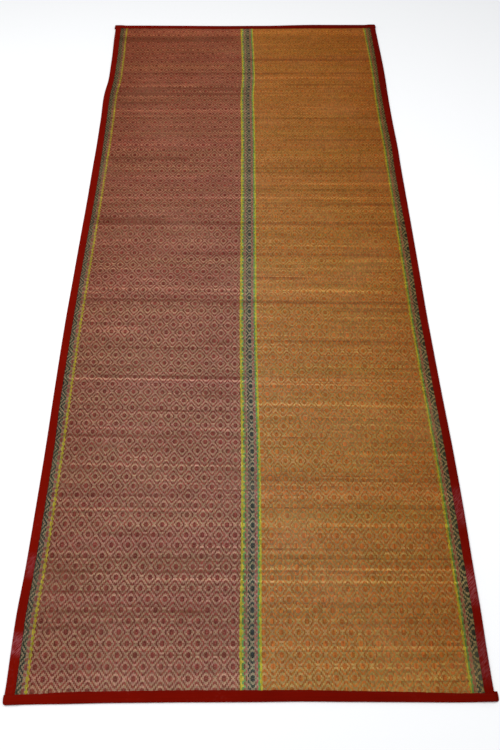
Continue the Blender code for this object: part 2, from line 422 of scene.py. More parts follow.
def laid(points):
    """Points of the straight flat weave, moved into the mat's true outline and over its tapes."""
    x, y, z = points.T
    across = (x + MAT_WIDTH / 2) / MAT_WIDTH
    y = stem_place(y / PICK_PITCH, across)
    left, right = along(SIDE_ROWS, "left", y), along(SIDE_ROWS, "right", y)
    x = x - left * (1 - across) + right * across
    side, end = over_side_tape(x, y), over_end_tape(x, y)
    pressed = 1 - (1 - PRESSED_THICKNESS / CLOTH_THICKNESS) * np.maximum(side, end)
    return np.column_stack([x, y, z * pressed + LAYER * (side + end)])


def read(items, name, kind, size=1):
    """A value of each of a mesh's vertices, faces or face corners, in one flat array."""
    found = np.empty(len(items) * size, dtype=kind)
    items.foreach_get(name, found)
    return found


def mesh_points(mesh):
    return read(mesh.vertices, "co", np.float32, 3).reshape(-1, 3).astype(float)


def move_points(mesh, points):
    mesh.vertices.foreach_set("co", points.astype(np.float32).ravel())
    mesh.update()


def corner_vertices(mesh):
    return read(mesh.loops, "vertex_index", np.int32)


def add_map(mesh, places):
    """A flat map of the cloth on the mesh, one place for each face corner."""
    flat_map = mesh.uv_layers.new(name="OFBake")
    flat_map.uv.foreach_set("vector", places.astype(np.float32).ravel())


def add_numbers(mesh, name, values):
    made = mesh.attributes.new(name, "FLOAT", "POINT")
    made.data.foreach_set("value", np.asarray(values, dtype=np.float32))


def link(name, data):
    """A new object in the scene, with a mesh, a light or a camera for its data."""
    made = bpy.data.objects.new(name, data)
    bpy.context.scene.collection.objects.link(made)
    return made


def baked_down(source, name):
    """The source object as its modifiers show it, as a plain mesh object of its own."""
    seen = source.evaluated_get(bpy.context.evaluated_depsgraph_get())
    mesh = bpy.data.meshes.new_from_object(seen)
    mesh.name = name
    bpy.data.objects.remove(source)
    return link(name, mesh)


class Num:
    """A number socket, on which sums are written as sums and become Math nodes."""

    def __init__(self, tree, socket):
        self.tree = tree
        self.socket = socket

    def calculate(self, operation, *terms):
        values = dict(enumerate(terms))
        return self.tree.number("ShaderNodeMath", {"operation": operation}, values)

    def __add__(self, other):
        return self.calculate("ADD", self, other)

    def __radd__(self, other):
        return self.calculate("ADD", other, self)

    def __sub__(self, other):
        return self.calculate("SUBTRACT", self, other)

    def __rsub__(self, other):
        return self.calculate("SUBTRACT", other, self)

    def __mul__(self, other):
        return self.calculate("MULTIPLY", self, other)

    def __rmul__(self, other):
        return self.calculate("MULTIPLY", other, self)

    def __truediv__(self, other):
        return self.calculate("DIVIDE", self, other)

    def __lt__(self, other):
        return self.calculate("LESS_THAN", self, other)

    def __gt__(self, other):
        return self.calculate("GREATER_THAN", self, other)

    def __mod__(self, other):
        return self.calculate("FLOORED_MODULO", self, other)

    def __rpow__(self, other):
        return self.calculate("POWER", other, self)

    def floor(self):
        return self.calculate("FLOOR", self)

    def sine(self):
        return self.calculate("SINE", self)

    def folded(self, span):
        """Counts up to span and back down again, over and over."""
        return self.calculate("PINGPONG", self, span)


class Tree:
    """A node tree under construction."""

    def __init__(self, tree):
        self.tree = tree
        self.count = 0

    def node(self, kind, settings=None, values=None):
        """Any node: its settings are set first, then the values or links of its inputs."""
        made = self.tree.nodes.new(kind)
        made.location = (200 * (self.count % 10), -240 * (self.count // 10))
        self.count += 1
        for name, value in (settings or {}).items():
            if name == "stops":
                self.set_stops(made.color_ramp, value)
            else:
                setattr(made, name, value)
        for key, value in (values or {}).items():
            self.feed(made.inputs[key], value)
        return made

    def feed(self, socket, value):
        if isinstance(value, Num):
            value = value.socket
        if isinstance(value, bpy.types.NodeSocket):
            self.tree.links.new(value, socket)
        else:
            socket.default_value = value

    def set_stops(self, ramp, stops):
        while len(ramp.elements) > 1:
            ramp.elements.remove(ramp.elements[0])
        ramp.elements[0].position, ramp.elements[0].color = stops[0]
        for position, colour in stops[1:]:
            ramp.elements.new(position).color = colour

    def number(self, kind, settings=None, values=None, output=0):
        return Num(self, self.node(kind, settings, values).outputs[output])

    def mixed(self, factor, first, second, blend="MIX"):
        """A colour between two, or one blended over the other."""
        settings = {"data_type": "RGBA", "blend_type": blend, "clamp_factor": True}
        values = {"Factor": factor, 6: first, 7: second}
        return self.node("ShaderNodeMix", settings, values).outputs[2]

    def scaled_colour(self, colour, factor):
        """A colour made brighter or darker by a number."""
        grey = self.node("ShaderNodeCombineColor", None, {0: factor, 1: factor, 2: factor})
        return self.mixed(1.0, colour, grey.outputs[0], "MULTIPLY")

    def ranged(self, value, low, high, new_low, new_high):
        """A number stretched from one range to another, and kept inside the new one."""
        values = {0: value, 1: low, 2: high, 3: new_low, 4: new_high}
        return self.number("ShaderNodeMapRange", {"clamp": True}, values)

    def attribute(self, name):
        found = self.node("ShaderNodeAttribute", {"attribute_name": name})
        return Num(self, found.outputs["Fac"])

    def vector_attribute(self, name):
        """The three numbers of a vector that the mesh carries."""
        found = self.node("ShaderNodeAttribute", {"attribute_name": name})
        return self.split(found.outputs["Vector"])

    def noise(self, place, scale=1.0, detail=2.0, roughness=0.5):
        values = {"Vector": place, "Scale": scale, "Detail": detail, "Roughness": roughness}
        return self.number("ShaderNodeTexNoise", None, values)

    def vector(self, x, y, z=0.0):
        return self.node("ShaderNodeCombineXYZ", None, {0: x, 1: y, 2: z}).outputs[0]

    def split(self, vector):
        """The three numbers of a vector."""
        parts = self.node("ShaderNodeSeparateXYZ", None, {0: vector})
        return [Num(self, parts.outputs[k]) for k in range(3)]

    def object_place(self):
        """A point's place on the piece, as a vector and as the numbers across and along the mat."""
        place = self.node("ShaderNodeTexCoord").outputs["Object"]
        x, y, unused = self.split(place)
        return place, x, y


def surface(name, roughness, shine):
    """A new material, its tree and its surface shader."""
    made = bpy.data.materials.new(name)
    made.use_nodes = True
    tree = Tree(made.node_tree)
    shader = made.node_tree.nodes["Principled BSDF"]
    shader.location = (2400, 0)
    shader.inputs["Roughness"].default_value = roughness
    shader.inputs["Specular IOR Level"].default_value = shine
    return made, tree, shader


def bump(tree, shader, height, distance, strength=1.0):
    values = {"Height": height, "Distance": distance, "Strength": strength}
    made = tree.node("ShaderNodeBump", None, values)
    tree.feed(shader.inputs["Normal"], made.outputs["Normal"])


def colour(rgb):
    return (*linear(rgb), 1.0)


def faded(tree, y, dye):
    """A colour that goes from the near end's to the far end's along the mat."""
    return tree.mixed(tree.ranged(y, *FADE_SPAN, 0.0, 1.0), colour(dye.near), colour(dye.far))


def tinted(tree, x, y, own, shade):
    """A colour that turns pinker or greener, in broad bands and with each float or stem by itself."""
    band = tree.noise(tree.vector(x * 0.8, y * 22.0)) - 0.5
    turn = tree.ranged(band * 1.4 + own, -0.5, 0.5, 0.0, 1.0)
    return tree.mixed(1.0, shade, tree.mixed(turn, PINKER, GREENER), "MULTIPLY")


def browned_towards_edges(tree, x, shade):
    """A colour that goes browner and darker towards the long edges."""
    stops = [(row.place * MM / MAT_WIDTH, (*row.kept, 1.0)) for row in EDGE_BROWNING]
    ramp = tree.node("ShaderNodeValToRGB", {"stops": stops}, {0: x / MAT_WIDTH + 0.5})
    return tree.mixed(1.0, shade, ramp.outputs[0], "MULTIPLY")


def stripe_stops():
    """The yarn colours across the mat, as hard stops on a ramp from the left edge to the right.

    Each colour's alpha is its bleed into the stems.
    """
    stops = []
    for stripe in STRIPES:
        place = (stripe.start - stripe.pitch / 2) * MM / MAT_WIDTH
        dye = YARN_COLOURS[stripe.yarn]
        stops.append((place, (*linear(dye.near), dye.bleed)))
    return stops


def grass_material(weave):
    """Dry grass stems: each has its own tone, paler and darker along its length, with fine fibre."""
    made, tree, shader = surface("grass_stems", 0.6, 0.1)
    place, x, y = tree.object_place()
    end, pick, top = tree.vector_attribute("chart")
    stem = pick.floor()
    leaning = (pick - (FIRST_PICK + LAST_PICK) / 2) * (weave.lean / (LAST_PICK - FIRST_PICK))
    flat_x = end * weave.back_pitch - leaning

    own = tree.number("ShaderNodeTexWhiteNoise", {"noise_dimensions": "1D"}, {"W": stem}) - 0.5
    drift = tree.noise(tree.vector(x * 8.0, stem * 5.3)) - 0.5
    band = tree.noise(tree.vector(x * 1.2, stem * 0.13), roughness=0.7) - 0.5
    blotch = tree.noise(place, 9.0, 3.0, 0.6) - 0.5
    fibre = tree.noise(tree.vector(x * 40.0, y * 4000.0), detail=1.0) - 0.5
    broken = tree.noise(tree.vector(x * 11.0, stem * 3.7)) + 0.5
    # Each crossing of a stem and an end is a spot with a tone and a cast of its own
    crossing = {"Vector": tree.vector(end.floor(), stem)}
    spots = tree.node("ShaderNodeTexWhiteNoise", {"noise_dimensions": "2D"}, crossing)
    spot_tone = Num(tree, spots.outputs["Value"]) - 0.5
    spot_colour = tree.node("ShaderNodeSeparateColor", None, {0: spots.outputs["Color"]})
    spot_turn = Num(tree, spot_colour.outputs[1]) - 0.5
    tone = own * weave.stem_contrast + drift * 1.9 + band * 0.7 + blotch * 0.4 + fibre * 0.12
    tone = tone + tree.attribute("streak") * broken + spot_tone * 0.6

    stripes = tree.node("ShaderNodeValToRGB", {"stops": stripe_stops()}, {0: flat_x / MAT_WIDTH + 0.5})
    stripes.color_ramp.interpolation = "CONSTANT"
    dye = stripes.outputs["Color"]
    bleed = Num(tree, stripes.outputs["Alpha"])
    halves = tree.mixed(
        flat_x > HALVES_MEET, faded(tree, y, STRAW_BY_RED), faded(tree, y, STRAW_BY_ORANGE)
    )
    straw = tree.mixed(bleed > 0.01, halves, faded(tree, y, STRAW_IN_STRIPES))
    aged = tree.mixed(tree.ranged(tone, -0.3, -1.2, 0.0, 0.75), straw, colour(AGED_STRAW))
    stained = tree.mixed(bleed, tinted(tree, x, y, spot_turn, aged), dye)
    shaded = tree.scaled_colour(browned_towards_edges(tree, x, stained), 2.0**tone)
    # The back shows the yarn wherever the face shows the stem
    across = (end.floor() + weave.back_step).folded(HALF_ROW)
    shows_yarn = stem_on_top(across, stem.folded(HALF_ROW), HALF_ROW) * (1 - top)
    tree.feed(shader.inputs["Base Color"], tree.mixed(shows_yarn, shaded, dye))
    bump(tree, shader, fibre * 0.3 + drift, 0.0002, 0.2)
    tree.feed(shader.inputs["Roughness"], tree.ranged(tone, -1.0, 1.0, 0.7, 0.5))
    return made


def yarn_material(name, dye):
    """Dyed yarn: each float has its own depth of colour, faded in patches, with a fine twist."""
    made, tree, shader = surface(f"{name}_yarn", 0.85, 0.04)
    place, x, y = tree.object_place()
    own = tree.attribute("tone") - 0.5
    patch = tree.noise(place, 6.0, 4.0, 0.6) - 0.5
    across = tree.noise(tree.vector(x * 3.0, y * 190.0)) - 0.5
    tone = own * dye.uneven + patch * 0.7 + across * 0.6 + tree.attribute("streak") * 0.5
    turned = tinted(tree, x, y, tree.attribute("turn"), faded(tree, y, dye))
    dyed = tree.scaled_colour(browned_towards_edges(tree, x, turned), 2.0**tone)
    dusty = tree.mixed(tree.ranged(patch, 0.0, 0.25, 0.0, 0.12), dyed, colour(DUST))
    tree.feed(shader.inputs["Base Color"], dusty)
    twist = ((x * 1.3 + y) * (2 * pi / YARN_TWIST)).sine()
    bump(tree, shader, twist, 0.00012, 0.12)
    return made


def tape_material():
    """Red cotton tape in a fine plain weave, paler in patches of rubbing and painted sheen, pale in
    stretches of scuffing and painted sheen, and darker towards the far right with painted shade.
    """
    made, tree, shader = surface("red_tape", 0.9, 0.01)
    across, run, unused = tree.vector_attribute("cloth")
    place, x, y = tree.object_place()
    thread = 2 * pi / TAPE_THREAD
    threads = (across * thread).sine() * (run * thread).sine()
    patches = tree.noise(place, 9.0, 4.0, 0.62) - 0.5
    fine = tree.noise(place, 220.0, 2.0, 0.6) - 0.5
    long_streak = tree.noise(tree.vector(across * 500.0, run * 12.0)) - 0.5
    # Painted shade: the tape goes darker towards the right, and more so towards the far end
    painted_shade_far_right = tree.ranged(x, -0.3, 0.36, 0.0, 1.0) * tree.ranged(y, 0.0, 0.9, 0.3, 0.55)
    tone = patches * 0.7 + threads * 0.06 + long_streak * 0.5 - painted_shade_far_right
    dyed = tree.scaled_colour(colour(TAPE_COLOUR), 2.0**tone)
    # Paler patches on the tape, partly rubbing of the cotton and partly a painted sheen
    rubbed_and_sheen = tree.ranged(patches * 0.6 + fine * 0.4, 0.1, 0.24, 0.0, 0.12)
    rubbed_and_sheened_tape = tree.mixed(rubbed_and_sheen, dyed, colour(RUBBED_AND_SHEEN_TAPE))
    # Pale stretches on the side tapes: partly scuffs and specks, partly a painted sheen
    scratch_and_sheen_marks = tree.noise(tree.vector((x + y) * 60.0, (x - y) * 480.0), 1.0, 3.0, 0.6)
    scuffed_and_sheened = tree.ranged(scratch_and_sheen_marks, 0.42, 0.7, 0.0, 0.8) * tree.attribute("scuff")
    tree.feed(shader.inputs["Base Color"], tree.mixed(scuffed_and_sheened, rubbed_and_sheened_tape, colour(SCUFF_AND_SHEEN_TAPE)))
    bump(tree, shader, threads * 0.5 + fine, 0.00015, 0.3)
    tree.feed(shader.inputs["Roughness"], tree.ranged(patches, -0.2, 0.2, 0.86, 0.74))
    return made


def thread_material():
    """The sewing thread, close to the tape's own red."""
    made, tree, shader = surface("sewing_thread", 0.7, 0.15)
    place = tree.node("ShaderNodeTexCoord").outputs["Object"]
    shade = tree.mixed(tree.noise(place, 60.0), colour(PALE_THREAD), colour(DARK_THREAD))
    tree.feed(shader.inputs["Base Color"], shade)
    return made


def new_geometry_tree(name, counts, sizes):
    """A geometry tree and its inputs by name: geometry, whole counts, sizes and a material."""
    kinds = {"Geometry": "Geometry"}
    kinds.update(dict.fromkeys(counts, "Int"))
    kinds.update(dict.fromkeys(sizes, "Float"))
    kinds["Material"] = "Material"
    group = bpy.data.node_groups.new(name, "GeometryNodeTree")
    group.interface.new_socket("Geometry", in_out="OUTPUT", socket_type="NodeSocketGeometry")
    for label, kind in kinds.items():
        group.interface.new_socket(label, in_out="INPUT", socket_type="NodeSocket" + kind)
    tree = Tree(group)
    node = tree.node("NodeGroupInput")
    return tree, {label: Num(tree, node.outputs[label]) for label in kinds}


def finish_geometry_tree(tree, geometry, material):
    """Ends a geometry tree: real faces, smooth shading, material, output."""
    real = tree.node("GeometryNodeRealizeInstances", None, {"Geometry": geometry})
    smooth = tree.node("GeometryNodeSetShadeSmooth", None, {"Geometry": real.outputs[0]})
    values = {"Geometry": smooth.outputs[0], "Material": material}
    dressed = tree.node("GeometryNodeSetMaterial", None, values)
    tree.node("NodeGroupOutput", None, {0: dressed.outputs[0]})


def run_geometry_tree(tree, source, values, name):
    """Runs the tree on an object with the given input values, and returns the plain result."""
    modifier = source.modifiers.new(tree.tree.name, "NODES")
    modifier.node_group = tree.tree
    for item in tree.tree.interface.items_tree:
        if item.in_out == "INPUT" and item.name in values:
            modifier[item.identifier] = values[item.name]
    source.update_tag()
    return baked_down(source, name)


def named(tree, name, kind="FLOAT"):
    """A number or vector that the geometry carries under a name."""
    return tree.node("GeometryNodeInputNamedAttribute", {"data_type": kind}, {"Name": name}).outputs[0]


def stored(tree, geometry, name, value, kind="FLOAT", domain="POINT", selection=True):
    """Geometry that carries a number or vector under a name."""
    values = {"Geometry": geometry, "Selection": selection, "Name": name, "Value": value}
    settings = {"data_type": kind, "domain": domain}
    return tree.node("GeometryNodeStoreNamedAttribute", settings, values).outputs[0]


def position(tree):
    return tree.split(tree.node("GeometryNodeInputPosition").outputs[0])


def moved(tree, geometry, x, y, z, selection=True):
    """Geometry with its points, or those selected, at a new place."""
    values = {"Geometry": geometry, "Selection": selection, "Position": tree.vector(x, y, z)}
    return tree.node("GeometryNodeSetPosition", None, values).outputs[0]


def without(tree, geometry, selection, domain="POINT"):
    """Geometry without the points or faces selected."""
    values = {"Geometry": geometry, "Selection": selection}
    return tree.node("GeometryNodeDeleteGeometry", {"domain": domain}, values).outputs[0]


def merged(tree, geometry, distance):
    """Geometry in which points that fall together are one."""
    values = {"Geometry": geometry, "Distance": distance}
    return tree.node("GeometryNodeMergeByDistance", None, values).outputs[0]


def stems_tree():
    """Lays stems side by side as one closed cloth: a ridge for each stem on the face and on the back."""
    counts = ["First Pick", "Picks", "Columns"]
    sizes = ["Width", "End Pitch", "Pick Pitch", "Face Height", "Stem Relief", "Wander"]
    tree, given = new_geometry_tree("Grass Stems", counts, sizes)

    def ridge(crest, x, pick):
        """How high a stem stands there: crest is 1 along its middle, and 0 between two stems."""
        stout = tree.noise(tree.vector(x * 4.0, pick.floor() * 7.7), detail=1.0)
        return crest * given["Stem Relief"] * (0.6 + stout * 0.8)

    rows = given["Picks"] * 2.0 + 1.0
    values = {"Size X": 1.0, "Size Y": 1.0, "Vertices X": given["Columns"], "Vertices Y": rows}
    grid = tree.node("GeometryNodeMeshGrid", None, values)
    index = tree.number("GeometryNodeInputIndex")
    row = index % rows
    column = (index / rows).floor()
    pick = row / 2.0 + given["First Pick"]
    x = (column / (given["Columns"] - 1.0) - 0.5) * given["Width"]
    inside = (row > 0.5) * (row < rows - 1.5)
    wander = (tree.noise(tree.vector(x * 9.0, pick * 3.1), detail=1.0) - 0.5) * inside
    y = (pick + wander * given["Wander"]) * given["Pick Pitch"]
    z = given["Stem Relief"] - ridge(row % 2.0, x, pick) * 0.9
    back = moved(tree, grid.outputs["Mesh"], x, y, z)
    chart = tree.vector(x / given["End Pitch"], pick, 0.0)
    charted = stored(tree, back, "chart", chart, "FLOAT_VECTOR")

    values = {"Mesh": charted, "Offset": (0.0, 0.0, 1.0), "Offset Scale": 0.001, "Individual": False}
    raised = tree.node("GeometryNodeExtrudeMesh", {"mode": "FACES"}, values)
    top = raised.outputs["Top"]
    x, y, unused = position(tree)
    end, pick, unused = tree.split(named(tree, "chart", "FLOAT_VECTOR"))
    crest = (pick * 2.0 + 0.25).floor() % 2.0
    z = given["Face Height"] - given["Stem Relief"] + ridge(crest, x, pick)
    lifted = moved(tree, raised.outputs["Mesh"], x, y, z, top)
    chart = tree.vector(end, pick, 1.0)
    face = stored(tree, lifted, "chart", chart, "FLOAT_VECTOR", selection=top)

    turned = tree.node("GeometryNodeFlipFaces", None, {"Mesh": charted})
    both = tree.node("GeometryNodeJoinGeometry")
    tree.tree.links.new(face, both.inputs[0])
    tree.tree.links.new(turned.outputs[0], both.inputs[0])
    closed = merged(tree, both.outputs[0], 0.000001)
    finish_geometry_tree(tree, closed, given["Material"])
    return tree


def cushion(tree, ridge_share):
    """A hipped cushion one unit long, wide and high, open underneath: the shape of one float."""
    block = tree.node("GeometryNodeMeshCube", None, {"Size": (1.0, 1.0, 1.0)})
    x, y, z = position(tree)
    top = z > 0.0
    shaped = moved(tree, block.outputs["Mesh"], x * (1 - top), y * (1 - top * (1 - ridge_share)), top)
    facing = tree.split(tree.node("GeometryNodeInputNormal").outputs[0])[2]
    return merged(tree, without(tree, shaped, facing < -0.5, "FACE"), 0.001)


def turns_back(across, half):
    """Whether an end is one where the lozenges turn back."""
    return (across < 0.5) + (across > half - 0.5)


def stem_on_top(across, along, half):
    """Whether a stem shows on the face, by how far the end and the stem are from the draft's turns.

    An end goes over two stems and under one, but over one and under two where it turns back.
    """
    ring = across + along
    plain = ((ring + 0.25) % 3.0) < 0.5
    at_turn = ((ring.folded(half) + 2.25) % 3.0) > 1.0
    return plain + turns_back(across, half) * (at_turn - plain)


def floats_tree():
    """Puts a small cushion of yarn wherever the draft raises an end over one or more stems."""
    counts = ["First Pick", "Picks", "Seed"]
    sizes = [
        "Pick Pitch",
        "Half Repeat",
        "Yarn Cover",
        "Float Cover",
        "Centre Cover",
        "Short Width",
        "Long Width",
        "Turning Width",
        "Turning Cover",
        "Yarn Rise",
        "Seat Height",
        "Ridge Share",
        "Unevenness",
        "Long Depth",
    ]
    tree, given = new_geometry_tree("Warp Floats", counts, sizes)
    values = {"Geometry": given["Geometry"], "Amount": given["Picks"]}
    copies = tree.node("GeometryNodeDuplicateElements", {"domain": "POINT"}, values)
    row = Num(tree, copies.outputs["Duplicate Index"]) + given["First Pick"]
    numbered = stored(tree, copies.outputs[0], "pick", row)
    pick, step, room = (Num(tree, named(tree, name)) for name in ("pick", "step", "room"))
    half = given["Half Repeat"]
    across = step.folded(half)
    turning = turns_back(across, half)

    def raised(ahead):
        """Whether the end lies over the stem so many picks ahead of this one."""
        return 1 - stem_on_top(across, (pick + ahead).folded(half), half)

    def closed_over(ahead):
        """How much of that stem a float closes over: some of it at a lozenge's centre, or none."""
        ring = across + (pick + ahead).folded(half) + 0.25
        return ((ring < 1.0) + (ring > half * 2.0)) * given["Centre Cover"]

    def spread(low, high, turn):
        """A number of its own for each float."""
        index = tree.number("GeometryNodeInputIndex")
        values = {2: low, 3: high, "ID": index, "Seed": given["Seed"] * 7.0 + turn}
        return tree.number("FunctionNodeRandomValue", {"data_type": "FLOAT"}, values, output=1)

    starts = raised(0.0) * (1 - raised(-1.0))
    length = 1.0 + raised(1.0) * (1.0 + raised(2.0))
    before = closed_over(-1.0)
    after = closed_over(length)
    x = position(tree)[0] + spread(-0.5, 0.5, 1) * given["Unevenness"]
    y = (pick + (length + after - before) * 0.5) * given["Pick Pitch"]
    seated = moved(tree, numbered, x, y, given["Seat Height"])

    reach = length - 1.0 + given["Float Cover"] + (after + before) + turning * given["Turning Cover"]
    plump = tree.ranged(length, 1.0, 3.0, given["Short Width"], given["Long Width"])
    plump = plump + turning * (given["Turning Width"] - plump)
    size = tree.vector(
        room * given["Yarn Cover"] * plump * spread(0.94, 1.04, 2),
        reach * given["Pick Pitch"],
        given["Yarn Rise"] * spread(0.8, 1.2, 3),
    )
    values = {
        "Points": without(tree, seated, starts < 0.5),
        "Instance": cushion(tree, given["Ridge Share"]),
        "Scale": size,
    }
    placed = tree.node("GeometryNodeInstanceOnPoints", None, values)
    tone = spread(0.0, 1.0, 4) - (reach - 2.0 + turning) * given["Long Depth"]
    toned = stored(tree, placed.outputs[0], "tone", tone, domain="INSTANCE")
    turn = spread(-0.5, 0.5, 5) - turning * 0.5
    turned = stored(tree, toned, "turn", turn, domain="INSTANCE")
    finish_geometry_tree(tree, turned, given["Material"])
    return tree


def stitches_tree():
    """Lays a row of short stitches along each line it is given."""
    sizes = ["Stitch Length", "Stitch Spacing", "Thread Radius"]
    tree, given = new_geometry_tree("Stitches", [], sizes)
    lines = tree.node("GeometryNodeMeshToCurve", None, {"Mesh": given["Geometry"]})
    values = {"Curve": lines.outputs[0], "Length": given["Stitch Spacing"]}
    spaced = tree.node("GeometryNodeResampleCurve", {"mode": "LENGTH"}, values)
    values = {"Segments": 6, "Rings": 4, "Radius": 1.0}
    stitch = tree.node("GeometryNodeMeshUVSphere", None, values)
    values = {"Vector": tree.node("GeometryNodeInputTangent").outputs[0]}
    aim = tree.node("FunctionNodeAlignRotationToVector", {"axis": "Y"}, values)
    radius = given["Thread Radius"]
    values = {
        "Points": spaced.outputs[0],
        "Instance": stitch.outputs[0],
        "Rotation": aim.outputs[0],
        "Scale": tree.vector(radius, given["Stitch Length"] * 0.5, radius * 0.8),
    }
    placed = tree.node("GeometryNodeInstanceOnPoints", None, values)
    finish_geometry_tree(tree, placed.outputs[0], given["Material"])
    return tree


METRES = {"unit": "LENGTH", "precision": 5}


class WeaveSettings(bpy.types.PropertyGroup):
    """Sizes of the weave"""

    columns: IntProperty(
        name="Columns", description="Lines of points along the mat in each stem", default=26, min=2
    )
    face_height: FloatProperty(
        name="Face Height", description="Top of the stems' ridges", default=0.0023, **METRES
    )
    stem_relief: FloatProperty(
        name="Stem Relief", description="Height of a stem's ridge", default=0.0003, **METRES
    )
    wander: FloatProperty(
        name="Wander", description="How far stems bend, as a share of their spacing", default=0.25
    )
    stem_contrast: FloatProperty(
        name="Stem Contrast", description="How much stems differ in tone, in doublings", default=0.35
    )
    yarn_cover: FloatProperty(
        name="Yarn Cover", description="Width of a yarn, as a share of its room", default=0.92
    )
    float_cover: FloatProperty(
        name="Float Cover", description="How much of its last stem a float covers", default=0.6
    )
    centre_cover: FloatProperty(
        name="Centre Cover",
        description="How far floats close over the stem at a lozenge's centre, as a share of it",
        default=0.35,
    )
    short_width: FloatProperty(
        name="Short Width",
        description="Width of a float over one stem, as a share of the cover",
        default=0.8,
    )
    long_width: FloatProperty(
        name="Long Width",
        description="Width of a float over three stems, as a share of the cover",
        default=1.06,
    )
    turning_width: FloatProperty(
        name="Turning Width",
        description="Width of a float on an end where the lozenges turn back, as a share of the cover",
        default=1.12,
    )
    turning_cover: FloatProperty(
        name="Turning Cover", description="Added reach of a float on such an end, in stems", default=0.7
    )
    yarn_rise: FloatProperty(
        name="Yarn Rise", description="How far a float stands up", default=0.0006, **METRES
    )
    seat_height: FloatProperty(
        name="Seat Height", description="Height of a float's edges", default=0.0022, **METRES
    )
    ridge_share: FloatProperty(
        name="Ridge Share", description="Length of a float's ridge, as a share of the float", default=0.6
    )
    unevenness: FloatProperty(
        name="Unevenness", description="Sideways shifts of floats", default=0.0002, **METRES
    )
    lean: FloatProperty(
        name="Lean",
        description="Drift of the stripes to the right, from the near end to the far end",
        default=0.0011,
        **METRES,
    )
    back_pitch: FloatProperty(
        name="Back Pitch", description="Distance between ends on the back", default=0.00237, **METRES
    )
    back_step: FloatProperty(
        name="Back Step", description="Place in the draft of the back's middle end", default=3
    )


class BindingSettings(bpy.types.PropertyGroup):
    """Sizes of the binding"""

    station_step: FloatProperty(
        name="Station Step", description="Distance between sections along a tape", default=0.006, **METRES
    )
    crown: FloatProperty(
        name="Crown", description="How far the tape's upper leaf puffs up", default=0.00035, **METRES
    )
    pucker: FloatProperty(
        name="Pucker", description="How far stitches pull the tape's edge", default=0.00035, **METRES
    )
    stitch_length: FloatProperty(
        name="Stitch Length", description="Length of a stitch", default=0.0026, **METRES
    )
    stitch_spacing: FloatProperty(
        name="Stitch Spacing", description="Distance between stitches", default=0.0036, **METRES
    )
    thread_radius: FloatProperty(
        name="Thread Radius", description="Half the thread's thickness", default=0.00022, **METRES
    )
    seam_inset: FloatProperty(
        name="Seam Inset", description="From the tape's inner edge to its seam", default=0.0022, **METRES
    )


class StageSettings(bpy.types.PropertyGroup):
    """Camera, floor and light"""

    camera_place: FloatVectorProperty(
        name="Camera Place",
        description="Where the camera stands",
        default=(-0.0104, -1.0671, 1.1724),
        subtype="TRANSLATION",
    )
    camera_turn: FloatVectorProperty(
        name="Camera Turn",
        description="The camera's tilt, roll and heading",
        default=(radians(32.683), radians(-0.257), radians(-0.538)),
        subtype="EULER",
    )
    camera_lens: FloatProperty(
        name="Camera Lens", description="Focal length for a 36 mm long side", default=33.26, unit="CAMERA"
    )
    floor_colour: FloatVectorProperty(
        name="Floor Colour",
        description="The plain floor",
        default=(0.97, 0.97, 0.97),
        size=3,
        subtype="COLOR",
    )
    daylight: FloatProperty(
        name="Daylight", description="Strength of the even light all round", default=0.54
    )
    key_power: FloatProperty(
        name="Key Power", description="Power of the large soft lamp", default=29, unit="POWER"
    )


SETTINGS = {
    "mat_weave": WeaveSettings,
    "mat_binding": BindingSettings,
    "mat_stage": StageSettings,
}


class MAT_OT_grass_ground(bpy.types.Operator):
    """Lay the grass stems side by side as the mat's closed ground cloth"""

    bl_idname = "mat.grass_ground"
    bl_label = "Lay Grass Stems"

    def execute(self, context):
        weave = context.scene.mat_weave
        values = {
            "First Pick": FIRST_PICK,
            "Picks": LAST_PICK - FIRST_PICK,
            "Columns": weave.columns,
            "Width": MAT_WIDTH - 2 * CLOTH_SIDE_INSET,
            "End Pitch": weave.back_pitch,
            "Pick Pitch": PICK_PITCH,
            "Face Height": weave.face_height,
            "Stem Relief": weave.stem_relief,
            "Wander": weave.wander,
            "Material": grass_material(weave),
        }
        source = link("stems", bpy.data.meshes.new("stems"))
        ground = run_geometry_tree(stems_tree(), source, values, "grass_stems")
        mesh = ground.data
        points = mesh_points(mesh)
        map_both_faces(mesh, points)
        add_numbers(mesh, "streak", streaks_at(points))
        move_points(mesh, laid(points))
        # The lines between stems are sharp, so that each stem is rounded by itself
        mesh.set_sharp_from_angle(angle=radians(24))
        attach(ground, "root")
        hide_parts("woven_mat")
        return {"FINISHED"}


def map_both_faces(mesh, points):
    """Maps the cloth flat: its face on the left half of the map, and its back on the right half."""
    facing_up = read(mesh.polygons, "normal", np.float32, 3).reshape(-1, 3)[:, 2]
    underneath = np.repeat(facing_up < 0, read(mesh.polygons, "loop_total", np.int32))
    place = points[corner_vertices(mesh)]
    u = (place[:, 0] / MAT_WIDTH + 0.5) * 0.5
    v = (place[:, 1] - points[:, 1].min()) / np.ptp(points[:, 1])
    add_map(mesh, np.column_stack([np.where(underneath, u + 0.5, u), v]))


def streaks_at(points):
    """How much darker or paler than the rest the mat is at each point of the straight flat weave.

    A streak takes in a little more than its stems, so that the lines on both sides belong to it.
    """
    tone = np.zeros(len(points))
    pick = points[:, 1] / PICK_PITCH
    for streak in STREAKS:
        within = (pick > streak.pick - 0.3) & (pick < streak.pick + streak.stems + 0.3)
        beside = (points[:, 0] > streak.start * MM) & (points[:, 0] < streak.end * MM)
        tone[within & beside] += streak.tone
    return tone


